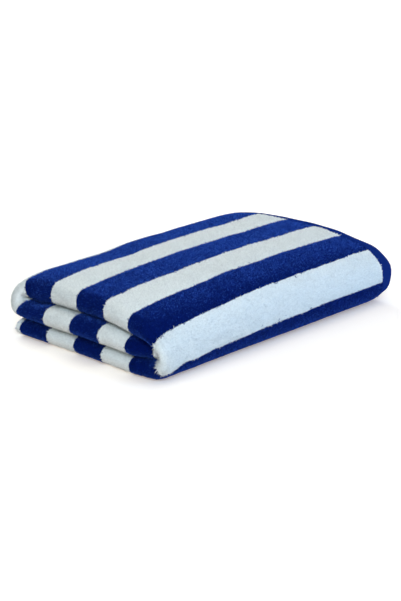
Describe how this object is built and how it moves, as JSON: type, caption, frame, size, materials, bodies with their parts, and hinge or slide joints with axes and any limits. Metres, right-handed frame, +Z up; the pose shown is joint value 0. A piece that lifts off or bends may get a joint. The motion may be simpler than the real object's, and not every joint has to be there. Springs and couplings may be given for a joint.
{
  "type": "beach towel",
  "caption": "Folded terry beach towel with wide blue and white stripes, in quarters and then thirds, lying flat.",
  "frame": {"origin": "middle of the underside of the folded towel's bounding box, on the plane it lies on", "axes": "+X along the folded towel and its stripes, from the end with the wide folds to the end with the hems; +Y across it, towards the open side; +Z up"},
  "size_m": [0.4512, 0.2986, 0.0901],
  "materials": {
    "terry": "matt cotton terry with short cut pile, in stripes of royal blue and off-white along the folded towel, with a narrow off-white edge along both long sides and blue hems; the mean of both colours is given"
  },
  "bodies": {
    "root": {"towel": "terry"}
  },
  "joints": []
}
